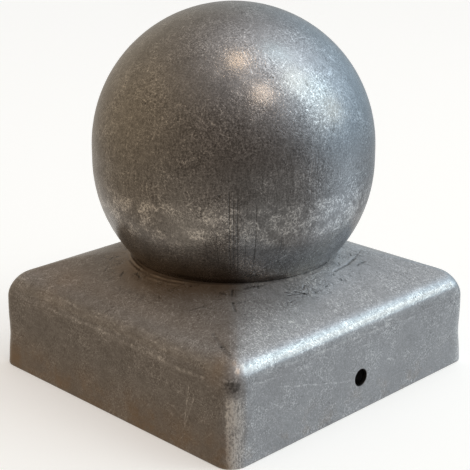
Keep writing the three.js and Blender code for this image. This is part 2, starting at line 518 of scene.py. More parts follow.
def foot_corner(radius, centre_height, foot, bend):
    """Centre of the arc that joins the shell's circle to its level foot, and the arc's angle.

    The arc's centre lies radius - bend from the shell's centre and bend above the foot.
    """
    drop = math.asin((centre_height - foot - bend) / (radius - bend))
    return ((radius - bend) * math.cos(drop), foot + bend), drop


def ball_section(sizes, cap):
    """The ball's closed section from the outer top round the neck to the inner top.

    Spheres, belt, foot, neck and flange are arcs and lines that touch each other smoothly.
    Returns the points, and how many of them lie on the outside above the foot's bend.
    """
    radius, sheet = BALL_RADIUS, sizes.sheet
    upper = (0.0, BALL_HIGH.z - radius)
    lower = (0.0, BALL_HIGH.z - radius - sizes.belt)
    foot = CAP_HIGH.z + sizes.foot_gap
    bend, inner_bend = sizes.foot_bend, INNER_BEND * sizes.foot_bend
    bend_centre, drop = foot_corner(radius, lower[1], foot, bend)
    inner_centre, inner_drop = foot_corner(radius - sheet, lower[1], foot + sheet, inner_bend)
    neck = sizes.neck / 2
    small = sizes.neck_bend
    neck_top = (neck + small, foot - small)
    flange_top = CAP_HIGH.z - cap.sheet - sizes.joint_gap
    neck_low = (neck + small, flange_top + small)
    flange_edge = (neck + sizes.flange - sheet / 2, flange_top - sheet / 2)
    shell = [
        arc(upper, radius, QUARTER, 0.0, steps=110),
        straight((radius, upper[1]), (radius, lower[1]), steps=8),
        arc(lower, radius, 0.0, -drop, steps=54),
    ]
    parts = shell + [
        arc(bend_centre, bend, -drop, -QUARTER, steps=8)[1:],
        straight((bend_centre[0], foot), (neck_top[0], foot), steps=5),
        arc(neck_top, small, QUARTER, 2 * QUARTER, steps=4),
        arc(neck_low, small, 2 * QUARTER, 3 * QUARTER, steps=4),
        arc(flange_edge, sheet / 2, QUARTER, -QUARTER, steps=6),
        arc(neck_low, small + sheet, 3 * QUARTER, 2 * QUARTER, steps=5),
        arc(neck_top, small + sheet, 2 * QUARTER, QUARTER, steps=5),
        straight((neck_top[0], foot + sheet), (inner_centre[0], foot + sheet), steps=3),
        arc(inner_centre, inner_bend, -QUARTER, -inner_drop, steps=2),
        arc(lower, radius - sheet, -inner_drop, 0.0, steps=8)[1:],
        arc(upper, radius - sheet, 0.0, QUARTER, steps=14),
    ]
    return np.concatenate(parts), sum(len(part) for part in shell)


def build_ball(sizes, cap):
    """The drawn ball: a surface of turning with its outside moved in by a slow waviness.

    depth = half the waviness * (1 + swell / its peak), where swell is two sums of waves. The depth
    fades out towards the foot and towards the top, where the ball keeps its true height. The
    inside, the foot and the neck are smooth.
    """
    section, outside = ball_section(sizes, cap)
    points = turned(section[1:-1], BALL_COLUMNS)
    normals = -grid_normals(points, closed_rows=False)
    height = points[..., 2]
    fade = smooth((height - CAP_HIGH.z - FOOT_CALM) / FOOT_FADE)
    fade *= smooth((BALL_HIGH.z - TOP_CALM - height) / TOP_FADE)
    fade[outside - 1:] = 0.0
    swell = sum(share * waves(points, length, seed) for share, length, seed in BALL_WAVES)
    depth = 0.5 * sizes.waviness * (1.0 + swell / WAVE_PEAK) * fade
    points = points - normals * depth[..., None]
    return add_turned("ball_shell", points, poles=(section[0, 1], section[-1, 1]))


def hole_cell(cap):
    """The width of one cell of the grid round a screw hole."""
    return cap.screw_hole / (2 * HOLE_CELLS)


def cap_columns(cap):
    """Where the cap's columns stand on the skirt, as distances from the middle of a side.

    They are spaced evenly in three runs: the field of the screw hole, the rest of the side, and
    the quarter turn's first half. The list covers an eighth of the way round.
    """
    side_end = CAP_HIGH.x - cap.corner
    field = hole_cell(cap) * np.arange(FIELD_CELLS + 1)
    side = np.linspace(field[-1], side_end, SIDE_COLUMNS + 1)[1:]
    corner = side_end + cap.corner * np.linspace(0.0, QUARTER / 2, CORNER_COLUMNS + 1)[1:]
    return np.concatenate([field, side, corner])


def cap_section(cap, foot_radius, seat_radius):
    """Rows of the cap's skin as (half width, corner radius, height, roundness), rim to seat and back.

    The outside is a round rim, an upright skirt, the shoulder's arc, the roof's slope and the
    level seat. The inside is the same section moved in by the sheet. The roundness goes from 0 at
    the skirt to 1 at the foot's circle: it is the share of the way in, raised to the spread.
    Returns the rows, and how many of them lie on the outside.
    """
    half, seat, sheet = CAP_HIGH.x, CAP_HIGH.z, cap.sheet
    rim = cap.rim_round
    lean = QUARTER - cap.slope
    lean_out, lean_up = math.cos(lean), math.sin(lean)
    centre = (half - cap.shoulder, cap.skirt)
    edge = (centre[0] + cap.shoulder * lean_out, cap.skirt + cap.shoulder * lean_up)
    foot = (foot_radius, seat)
    hole_edge = seat_radius + rim
    field = cap.screw_height + hole_cell(cap) * np.arange(-FIELD_CELLS, FIELD_CELLS + 1)
    heights = np.concatenate(
        [
            np.linspace(rim, field[0], LOW_ROWS + 2)[1:-1],
            field,
            np.linspace(field[-1], cap.skirt, HIGH_ROWS + 2)[1:-1],
        ]
    )
    upright = np.stack([np.full(len(heights), half), heights], axis=1)
    outside = [
        arc((half - rim, rim), rim, -QUARTER, 0.0, RIM_STEPS),
        upright,
        arc(centre, cap.shoulder, 0.0, lean, steps=22),
        straight(edge, foot, steps=60, crowd=1.4),
        [foot],
        straight(foot, (hole_edge, seat), steps=5),
        arc((hole_edge, seat - rim), rim, QUARTER, 2 * QUARTER, steps=3),
    ]
    inner_edge = (edge[0] - sheet * lean_out, edge[1] - sheet * lean_up)
    inner_foot = (foot_radius - sheet * math.tan(cap.slope / 2), seat - sheet)
    inside = [
        arc((hole_edge, seat - sheet + rim), rim, 2 * QUARTER, 3 * QUARTER, steps=3),
        straight((hole_edge, seat - sheet), inner_foot, steps=4),
        [inner_foot],
        straight(inner_foot, inner_edge, steps=12),
        arc(centre, cap.shoulder - sheet, lean, 0.0, steps=9),
        upright[::-1] - [sheet, 0.0],
        arc((half - sheet + rim, rim), rim, -2 * QUARTER, -QUARTER, RIM_STEPS),
    ]
    width, height = np.concatenate(outside + inside).T
    outside_count = sum(len(part) for part in outside)
    is_outer = np.arange(len(width)) < outside_count
    # The half width that the same point has on the outer skin sets the roundness.
    outer_width = np.select(
        [height <= cap.skirt, is_outer, width > inner_edge[0]],
        [half, width, centre[0] + (width - centre[0]) * cap.shoulder / (cap.shoulder - sheet)],
        width + sheet * lean_out,
    )
    share = np.clip((half - outer_width) / (half - foot_radius), 0.0, 1.0)
    corner = cap.corner + (cap.ridge - cap.corner) * smooth(share / RIDGE_SHARE)
    corner += cap.corner_ease * bell(height, EASE_HEIGHT, EASE_REACH)
    corner = np.where(is_outer, corner, np.maximum(corner - sheet, LEAST_CORNER))
    return np.column_stack([width, corner, height, share ** cap.spread]), outside_count


def cap_grid(cap, rows):
    """The cap's skin as a grid of points: each row lies between a rounded square and a circle.

    A column keeps its share of the way from the middle of a side to the middle of a corner, so it
    stands upright on the skirt and fans out over the roof. On the square's straight run the point
    is (half, way), and on its corner it is (half - r + r cos a, half - r + r sin a) with
    a = (way - straight run) / r. On the circle it is half * (cos b, sin b) with b the share of an
    eighth turn. The row's point is the square's plus roundness times (circle - square). Below the
    shoulder y grows by the flare, which is largest at the rim, times the share of the straight run.
    """
    stations = cap_columns(cap)
    share = stations / stations[-1]
    half, radius, height, roundness = (rows[:, i, None] for i in range(4))
    run = half - radius
    way = share[None, :] * (run + radius * QUARTER / 2)
    angle = np.maximum(way - run, 0.0) / radius
    out = run + radius * np.cos(angle)
    along = np.minimum(way, run) + radius * np.sin(angle)
    out = out + roundness * (half * np.cos(share * QUARTER / 2) - out)
    along = along + roundness * (half * np.sin(share * QUARTER / 2) - along)
    # The first eighth runs from a side's middle to the corner, and the next mirrors it.
    quarter_out = np.concatenate([out, along[:, -2:0:-1]], axis=1)
    quarter_along = np.concatenate([along, out[:, -2:0:-1]], axis=1)
    tall = np.broadcast_to(height, quarter_out.shape)
    flare = (CAP_HIGH.y - CAP_HIGH.x) * np.clip(1.0 - tall / cap.skirt, 0.0, 1.0)
    blocks = []
    for side in range(4):
        c, s = round(math.cos(side * QUARTER)), round(math.sin(side * QUARTER))
        x = quarter_out * c - quarter_along * s
        y = quarter_out * s + quarter_along * c
        y = y + flare * np.clip(y / np.maximum(run, 1e-9), -1.0, 1.0)
        blocks.append(np.stack([x, y, tall], axis=-1))
    return np.concatenate(blocks, axis=1)


def segment_distance(points, start, end):
    """Distance in plan from each point to the straight segment between two points."""
    start, end = np.asarray(start), np.asarray(end)
    run = end - start
    share = np.clip(((points[..., :2] - start) @ run) / (run @ run), 0.0, 1.0)
    return np.linalg.norm(points[..., :2] - start - share[..., None] * run, axis=-1)


def cap_relief(points, cap, foot_radius):
    """Height of the pressed and scraped relief on the cap's outer skin.

    It adds up a lip round the ball's foot (a bell curve across its radius, lower on one side), a
    fainter second ring on another side, both with an uneven height, scrapes (negative bell curves
    across short segments), and the slow waviness of pressed sheet, which is calm at the rim, near
    the ball's foot and at the screw holes.
    """
    reach = np.hypot(points[..., 0], points[..., 1])
    height = points[..., 2]
    turn = np.degrees(np.arctan2(points[..., 1], points[..., 0]))
    out = (reach - foot_radius) / MM
    lip = bell(out, *LIP_RING) * (1.0 - LIP_LOSS * bell(turn, *LIP_LOW))
    second = SECOND_SHARE * bell(out, *SECOND_RING) * bell(turn, *SECOND_ARC)
    relief = cap.lip * (lip + second) * (1.0 + LIP_UNEVEN * waves(points, *LIP_WAVES))
    for start, end, width, depth in CAP_SCRAPES:
        distance = segment_distance(points, np.array(start) * MM, np.array(end) * MM)
        relief -= depth * MM * bell(distance, 0.0, width * MM)
    near_foot = smooth((foot_radius + FOOT_MARGIN - reach) / FOOT_MARGIN)
    from_hole = np.hypot(points[..., 1], height - cap.screw_height)
    fade = smooth(height / RIM_MARGIN) * (1.0 - near_foot) * smooth(from_hole / HOLE_MARGIN)
    swell = waves(points, *CAP_WAVES)
    return relief - 0.5 * cap.waviness * fade * (1.0 + swell / WAVE_PEAK)


def hole_field(points, rows, columns, side, cap, mouth):
    """Moves the grid round a screw hole so that its innermost square becomes a circle.

    A grid point at (y, z) from the hole's middle, on the square ring of half size q, moves
    towards the circle of radius q * mouth / hole radius in its own direction, wholly on the
    innermost ring and not at all on the outermost.
    """
    cell = hole_cell(cap)
    step = np.arange(-FIELD_CELLS, FIELD_CELLS + 1)
    across, up = np.meshgrid(step * cell, step * cell)
    ring = np.maximum(abs(across), abs(up))
    inner, outer = HOLE_CELLS * cell, FIELD_CELLS * cell
    pull = smooth((outer - ring) / (outer - inner))
    length = np.maximum(np.hypot(across, up), 1e-9)
    scale = (1.0 - pull) + pull * ring * (mouth / inner) / length
    window = np.ix_(rows, columns)
    moved = points[window]
    moved[..., 1] = side * scale * across
    moved[..., 2] = cap.screw_height + scale * up
    points[window] = moved


def hole_ring(rows, columns, column_count):
    """Grid numbers of the innermost square ring round a hole, against the clock from outside."""
    low, high = FIELD_CELLS - HOLE_CELLS, FIELD_CELLS + HOLE_CELLS
    span = np.arange(low, high)
    lows, highs = np.full(2 * HOLE_CELLS, low), np.full(2 * HOLE_CELLS, high)
    up = np.concatenate([lows, span, highs, span[::-1] + 1])
    across = np.concatenate([span, highs, span[::-1] + 1, lows])
    return rows[up] * column_count + columns[across]


def hole_wall(mouth, side, cap):
    """Rings of points down the wall of a screw hole, from its mouth on the outer skin.

    Each ring keeps the mouth's directions from the hole's middle. The edge is a quarter arc:
    radius = bore + round * (1 - sin a) at depth = round * (1 - cos a). A last ring stands in the
    straight bore.
    """
    bore = cap.screw_hole / 2
    edge = MOUTH_SHARE * cap.rim_round
    middle = [0.0, cap.screw_height]
    around = mouth[:, 1:] - middle
    around /= np.linalg.norm(around, axis=1, keepdims=True)
    bend = np.linspace(0.0, QUARTER, MOUTH_STEPS + 1)[1:]
    radii = np.append(bore + edge * (1.0 - np.sin(bend)), bore)
    depths = np.append(edge * (1.0 - np.cos(bend)), BORE_SHARE * cap.sheet)
    rings = []
    for radius, depth in zip(radii, depths):
        across = np.full(len(mouth), side * (CAP_HIGH.x - depth))
        rings.append(np.column_stack([across, around * radius + middle]))
    return rings


def build_cap(cap, ball):
    """The pressed cap: a closed skin of rounded squares with two screw holes through it.

    Round each hole the grid is bent to a circle, its middle quads are left out on both skins, and
    rings of quads join the two circles through the sheet.
    """
    foot_radius = BALL_RADIUS * math.sin(ball.foot_angle)
    seat_radius = ball.neck / 2 + ball.joint_gap
    rows, outside = cap_section(cap, foot_radius, seat_radius)
    points = cap_grid(cap, rows)
    row_count, column_count = points.shape[:2]
    quads = grid_quads(row_count, column_count, closed_rows=True)
    normals = grid_normals(points, closed_rows=True)
    relief = cap_relief(points, cap, foot_radius)
    relief[outside:] = 0.0
    points = points + normals * relief[..., None]
    step = np.arange(-FIELD_CELLS, FIELD_CELLS + 1)
    # The outer skin starts with the rim and the inner one ends with it, so the rows mirror.
    outer_rows = RIM_STEPS + 1 + LOW_ROWS + FIELD_CELLS + step
    inner_rows = row_count - 1 - outer_rows
    middle = slice(FIELD_CELLS - HOLE_CELLS, FIELD_CELLS + HOLE_CELLS)
    bore = cap.screw_hole / 2
    kept = np.ones(quads.shape[:2], bool)
    hole_points, hole_quads = [], []
    total = row_count * column_count
    for side in (1, -1):
        columns = (step + (0 if side > 0 else column_count // 2)) % column_count
        hole_field(points, outer_rows, columns, side, cap, bore + MOUTH_SHARE * cap.rim_round)
        hole_field(points, inner_rows, columns, side, cap, bore)
        kept[np.ix_(outer_rows[middle], columns[middle])] = False
        kept[np.ix_(inner_rows[middle] - 1, columns[middle])] = False
        mouth = hole_ring(outer_rows, columns, column_count)
        wall = hole_wall(points.reshape(-1, 3)[mouth], side, cap)
        numbers = total + np.arange(len(wall) * len(mouth)).reshape(len(wall), -1)
        total += numbers.size
        hole_points.extend(wall)
        rings = [mouth, *numbers, hole_ring(inner_rows, columns, column_count)]
        for here, deeper in zip(rings[:-1], rings[1:]):
            beside, deeper_beside = np.roll(here, -1), np.roll(deeper, -1)
            hole_quads.append(np.stack([here, beside, deeper_beside, deeper], axis=1))
    vertices = np.concatenate([points.reshape(-1, 3), *hole_points])
    return add_mesh_object("cap_pressing", vertices, np.concatenate([quads[kept], *hole_quads]))


class Value:
    """One output of a shader node, which Python's operators combine through Math nodes."""

    def __init__(self, graph, socket):
        self.graph = graph
        self.socket = socket

    def output(self, name):
        """Another output of the same node."""
        return Value(self.graph, self.socket.node.outputs[name])

    def math(self, operation, *others):
        """A Math node with this value first."""
        sockets = dict(enumerate((self, *others)))
        return self.graph.add("ShaderNodeMath", {"operation": operation}, sockets)

    def __add__(self, other):
        return self.math("ADD", other)

    def __sub__(self, other):
        return self.math("SUBTRACT", other)

    def __mul__(self, other):
        return self.math("MULTIPLY", other)

    def __truediv__(self, other):
        return self.math("DIVIDE", other)

    def __radd__(self, other):
        return self.math("ADD", other)

    def __rmul__(self, other):
        return self.math("MULTIPLY", other)

    def __rsub__(self, other):
        return self.graph.add("ShaderNodeMath", {"operation": "SUBTRACT"}, {0: other, 1: self})

    def __neg__(self):
        return self.math("MULTIPLY", -1.0)

    def __abs__(self):
        return self.math("ABSOLUTE")

    def beside(self, other):
        """The square root of both squares' sum, as for the long side of a right angle."""
        return ((self * self) + (other * other)).math("SQRT")

    def rise(self, low, high):
        """0 up to low, 1 from high on, and a smooth step between."""
        return self.graph.add(
            "ShaderNodeMapRange",
            {"interpolation_type": "SMOOTHSTEP"},
            {"Value": self, "From Min": low, "From Max": high, "To Min": 0.0, "To Max": 1.0},
        )

    def fall(self, low, high):
        """1 up to low, 0 from high on, and a smooth step between."""
        return 1.0 - self.rise(low, high)

    def zone(self, start, full, ease, end):
        """0 up to start, 1 from full to ease, 0 from end on, and smooth steps between."""
        return self.rise(start, full) * self.fall(ease, end)

    def bell(self, centre, width):
        """1 at the centre, falling as exp(-((value - centre) / width) squared)."""
        reach = (self - centre) / width
        return (-(reach * reach)).math("EXPONENT")


class Graph:
    """The node tree of one material or of the world."""

    def __init__(self, tree):
        tree.nodes.clear()
        self.tree = tree

    def add(self, kind, settings=None, sockets=None, output=0):
        """Adds one node: its settings first, then its sockets, and returns the named output."""
        node = self.tree.nodes.new(kind)
        for name, value in (settings or {}).items():
            setattr(node, name, value)
        for name, value in (sockets or {}).items():
            if isinstance(value, Value):
                self.tree.links.new(value.socket, node.inputs[name])
            else:
                node.inputs[name].default_value = value
        return Value(self, node.outputs[output]) if node.outputs else None

    def vector(self, operation, first, second=(0.0, 0.0, 0.0), output="Vector"):
        """A Vector Math node with one or two vectors."""
        settings = {"operation": operation}
        return self.add("ShaderNodeVectorMath", settings, {0: first, 1: second}, output)

    def scaled(self, vector, scale):
        """A vector times a number."""
        settings = {"operation": "SCALE"}
        return self.add("ShaderNodeVectorMath", settings, {0: vector, "Scale": scale}, "Vector")

    def moved(self, place, way, share):
        """A place moved by a share of a vector."""
        return self.vector("ADD", place, self.scaled(way, share))

    def distance(self, first, second):
        """How far two places lie apart."""
        return self.vector("DISTANCE", first, second, "Value")

    def parts(self, vector):
        """The x, y and z of a vector."""
        split = self.add("ShaderNodeSeparateXYZ", sockets={"Vector": vector})
        return split, split.output("Y"), split.output("Z")

    def mix(self, first, second, share):
        """A colour between two colours. Sockets 0, 6 and 7 are the factor and the two colours."""
        settings = {"data_type": "RGBA", "clamp_factor": True}
        return self.add("ShaderNodeMix", settings, {0: share, 6: first, 7: second}, 2)

    def noise(self, place, size, detail=3.0, roughness=0.55):
        """Uneven field between 0 and 1, about 0.5 on average, with lumps about size across."""
        sockets = {"Vector": place, "Scale": 1.0 / size, "Detail": detail, "Roughness": roughness}
        return self.add("ShaderNodeTexNoise", {"noise_dimensions": "3D"}, sockets)

    def streaks(self, place, lumps, detail, roughness=0.55):
        """The same field drawn out: lumps is how many there are to a millimetre along each axis."""
        return self.noise(self.vector("MULTIPLY", place, lumps), 1.0, detail, roughness)

    def hairs(self, place, turn, gap, length):
        """Broken hairlines side by side: 1 on a line and 0 off it.

        The lines are where stretched noise passes through its middle value. The noise is turned
        by three angles in degrees, and its lumps are gap across and length long.
        """
        sockets = {
            "Vector": place,
            "Rotation": tuple(math.radians(angle) for angle in turn),
            "Scale": (1.0 / length, 1.0 / gap, 1.0 / gap),
        }
        laid = self.add("ShaderNodeMapping", {"vector_type": "POINT"}, sockets)
        return self.noise(laid, 1.0, 1.0).bell(0.5, 0.03)

    def scratches(self, place, cell, width, reach, share):
        """Fine straight scratches in every direction, 1 on a scratch and 0 off it.

        Space is cut into uneven cells. Each cell has a flat slab of its own direction through its
        middle, and the scratch is where that slab cuts the surface, no further out than reach.
        Only the given share of the cells has one.
        """
        sockets = {"Vector": place, "Scale": 1.0 / cell}
        cells = self.add("ShaderNodeTexVoronoi", {"voronoi_dimensions": "3D"}, sockets, "Position")
        chance = cells.output("Color")
        away = self.vector("SUBTRACT", place, cells)
        facing = self.vector("NORMALIZE", self.vector("SUBTRACT", chance, (0.5, 0.5, 0.5)))
        across = abs(self.vector("DOT_PRODUCT", away, facing, "Value"))
        drawn = self.vector("DOT_PRODUCT", chance, (7.3, 13.9, 23.1), "Value").math("FRACT")
        length = self.vector("LENGTH", away, output="Value")
        line = across.fall(0.4 * width, width) * length.fall(0.5 * reach, reach)
        return line * drawn.math("LESS_THAN", share)

    def stroke(self, place, start, end, width):
        """A single straight mark from start to end, 1 on its line and 0 off it.

        The nearest point of the line is start + share * run, where share is the part of the way
        along the run, held between 0 and 1.
        """
        run = [b - a for a, b in zip(start, end)]
        square = sum(step * step for step in run)
        away = self.vector("SUBTRACT", place, tuple(start))
        share = self.vector("DOT_PRODUCT", away, tuple(step / square for step in run), "Value")
        held = self.add("ShaderNodeClamp", sockets={"Value": share, "Min": 0.0, "Max": 1.0})
        return self.distance(away, self.scaled(tuple(run), held)).fall(0.35 * width, width)


def new_material(name):
    """A material and the graph of its nodes, which is still empty."""
    material = bpy.data.materials.new(name)
    material.use_nodes = True
    return material, Graph(material.node_tree)


class ZincFinish(bpy.types.PropertyGroup):
    """Colours and wear of the zinc coat."""

    # Also the colour of painted highlights and reflections.
    bright: colour_property(
        "Bright zinc", "Colour of the zinc where it is rubbed bright", (0.88, 0.88, 0.865)
    )
    plain: colour_property("Plain zinc", "Colour of most of the zinc", (0.42, 0.42, 0.425))
    dull: colour_property(
        "Dull zinc", "Colour of the zinc where it has gone dark", (0.15, 0.148, 0.148)
    )
    # Brown of real stains, and of painted warm reflection on the cap and the ball's underside.
    stain: colour_property("Stain", "Colour of the brown stains", (0.29, 0.21, 0.14))
    # Near-black of bruises, folds and wrinkles, and of the painted shade on the bores' walls.
    dirt: colour_property(
        "Dirt", "Colour of bruises, folds and the bores' walls", (0.02, 0.018, 0.016)
    )
    gloss: number_property(
        "Roughness", "Roughness of plain zinc", 0.25, max=1.0, subtype="FACTOR"
    )


def zinc_surface(graph, place, wear):
    """The zinc that both pieces share: how bright it is, how rough, and its relief.

    The brightness adds cloudy patches, mottling and speckles, a grain that has more bright specks
    than dark ones (noise to the third power), broken hairlines that run in a few directions, and
    single fine scratches, light and dark. Wear scales all of them. The relief, in millimetres, is
    the grain and the scratches' furrows.
    """
    bent = graph.moved(place, (2.0, -1.4, 1.7), graph.noise(place, 7.0, 1.0))
    bent = graph.moved(bent, (-0.3, 0.35, 0.25), graph.noise(place, 2.2, 1.0))
    cloud = graph.noise(place, 19.0, 2.0) - 0.5
    mottle = graph.noise(place, 4.2, 3.0, 0.6)
    speckle = graph.noise(place, 1.1, 2.0, 0.6) - 0.5
    grain = graph.noise(place, 0.34, 2.0, 0.7)
    hair = sum(graph.hairs(bent, *lines) for lines in ZINC_HAIRS)
    light = sum(graph.scratches(bent, *lines) for lines in LIGHT_SCRATCHES)
    dark = sum(graph.scratches(bent, *lines) for lines in DARK_SCRATCHES)
    fine = (grain * grain * grain) * 8.0 - 1.0
    worn = 0.55 + graph.noise(place, 9.0, 3.0, 0.6).rise(0.36, 0.64) * 0.75
    tone = fine * 0.21 + light * 0.18 + hair * mottle.rise(0.32, 0.56) * 0.05 - dark * 0.17
    tone = tone * worn + cloud * 0.2 + (mottle - 0.5) * 0.14 + speckle * 0.16
    rough = (mottle - 0.5) * 0.08 + (grain - 0.5) * 0.2 - light * 0.04
    relief = (grain - 0.5) * 0.022 + (mottle - 0.5) * 0.008 - (light + dark + hair * 0.4) * 0.005
    return tone * wear + 0.25, rough * wear, relief * wear


class Coat:
    """The zinc of one piece while its marks are laid on.

    tone is how bright the zinc is, painted light and shade included: 0 is dull, 0.5 plain and 1
    bright. rough is its roughness beyond that of plain zinc, and relief its height in millimetres.
    The brown and the near-black shares take those colours, for real stains and dirt and also for
    painted warm reflection and painted shade. metal is 1 where the zinc is polished, and less where
    its skin has gone matt.
    place is the piece's own coordinates in millimetres.
    """

    def __init__(self, name, wear):
        self.material, self.graph = new_material(name)
        coordinates = self.graph.add("ShaderNodeTexCoord", output="Object")
        self.place = self.graph.vector("MULTIPLY", coordinates, (1.0 / MM, 1.0 / MM, 1.0 / MM))
        self.across, self.deep, self.height = self.graph.parts(self.place)
        self.tone, self.rough, self.relief = zinc_surface(self.graph, self.place, wear)
        self.stain = 0.0
        self.dirt = 0.0
        self.metal = 1.0

    def lay(self, mark, **amounts):
        """Adds a mark, which runs from 0 to 1, to each named field by its own amount."""
        for field, amount in amounts.items():
            setattr(self, field, getattr(self, field) + mark * amount)

    def finished(self, finish):
        """The material, with the marks turned into a metal shader's colour, gloss and bumps."""
        graph = self.graph
        colour = graph.mix((*finish.dull, 1.0), (*finish.plain, 1.0), self.tone * 2.0)
        colour = graph.mix(colour, (*finish.bright, 1.0), self.tone * 2.0 - 1.0)
        colour = graph.mix(colour, (*finish.stain, 1.0), self.stain)
        colour = graph.mix(colour, (*finish.dirt, 1.0), self.dirt)
        bumps = {"Strength": 1.0, "Distance": MM, "Height": self.relief}
        sockets = {
            "Base Color": colour,
            "Metallic": self.metal,
            "Roughness": (self.rough + finish.gloss).math("MAXIMUM", LEAST_ROUGHNESS),
            "Normal": graph.add("ShaderNodeBump", sockets=bumps, output="Normal"),
        }
        shader = graph.add("ShaderNodeBsdfPrincipled", sockets=sockets)
        graph.add("ShaderNodeOutputMaterial", sockets={"Surface": shader})
        return self.material


class BallCoat(Coat):
    """The zinc of the drawn ball."""

    def rub_and_paint_reflection(self):
        """A pale band below the middle, partly a painted reflection, rubbed in fine strokes, and a
        fainter one high up.
        """
        graph, place = self.graph, self.place
        band = self.height.zone(*RUBBED_AND_REFLECTED_BAND)
        band = band * graph.noise(place, 3.2, 4.0, 0.7).rise(0.42, 0.58)
        band = band * graph.noise(place, 12.0, 1.0).rise(0.26, 0.46)
        strokes = sum(graph.scratches(place, *lines) for lines in RUBBED_SCRATCHES)
        strokes = strokes * 0.7 + graph.noise(place, 0.5, 2.0, 0.6).rise(0.5, 0.7) * 0.8
        high = self.height.bell(*HIGH_BAND) * graph.noise(place, 2.6, 4.0, 0.75).rise(0.42, 0.7)
        # The band's even lift in brightness is a painted reflection of the horizon; its strokes are
        # rubbed wear.
        self.lay(band, tone=0.12, rough=0.05)
        self.lay(band * strokes, tone=0.66)
        self.lay(high, tone=0.12)

    def paint_shade(self):
        """Painted shade: the underside darker and a little brown, the front of the middle a little
        darker.
        """
        self.lay(self.height.fall(*UNDERSIDE), tone=-0.48, stain=0.3)
        middle, full, gone = FRONT_SHADE
        self.lay(self.graph.distance(self.place, middle).fall(full, gone), tone=-0.09)

    def draw(self):
        """A fine upright grain round the middle, single dark lines low on the front, and pits."""
        drawn = self.graph.streaks(self.place, (3.0, 3.0, 0.5), 2.0, 0.6) - 0.5
        self.lay(drawn * self.height.fall(56.0, 70.0), tone=0.45)
        broken = self.graph.noise(self.place, 2.4, 2.0).rise(0.36, 0.5)
        turn = self.deep.math("ARCTAN2", self.across)
        for degrees, low, top, width, depth in DRAW_LINES:
            side = abs(turn - math.radians(degrees)) * (BALL_RADIUS / MM)
            line = side.fall(0.35 * width, width) * self.height.zone(low, low + 5.0, top - 3.0, top)
            self.lay(line * (0.45 + broken * 0.55), tone=-depth, relief=-0.05 * depth)
        for centre, radius in BALL_PITS:
            pit = self.graph.distance(self.place, centre) + broken * 0.1
            self.lay(pit.fall(0.2 * radius, radius), tone=-0.9, relief=-0.05)


